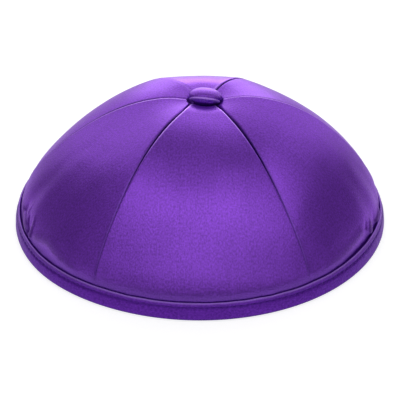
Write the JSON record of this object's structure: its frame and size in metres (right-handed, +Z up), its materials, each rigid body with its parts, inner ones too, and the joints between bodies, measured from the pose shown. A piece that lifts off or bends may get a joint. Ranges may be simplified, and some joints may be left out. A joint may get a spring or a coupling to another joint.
{
  "type": "kippah",
  "caption": "Panelled purple satin kippah with a covered button on the crown and a topstitched bias-bound rim.",
  "frame": {"origin": "middle of the rim, on the surface that the cap rests on", "axes": "+Z up through the crown, -Y towards the front panel, +X to the wearer's left when the front panel is worn forward"},
  "size_m": [0.1692, 0.17, 0.0562],
  "materials": {
    "panel_satin": "purple satin, warp sheen along each panel",
    "binding_satin": "purple satin bias tape, topstitched in purple thread",
    "button_satin": "purple satin pulled over a button shell"
  },
  "bodies": {
    "root": {"panel_front": "panel_satin", "panel_front_right": "panel_satin", "panel_back_right": "panel_satin", "panel_back": "panel_satin", "panel_back_left": "panel_satin", "panel_front_left": "panel_satin", "rim_binding": "binding_satin", "crown_button": "button_satin"}
  },
  "joints": []
}
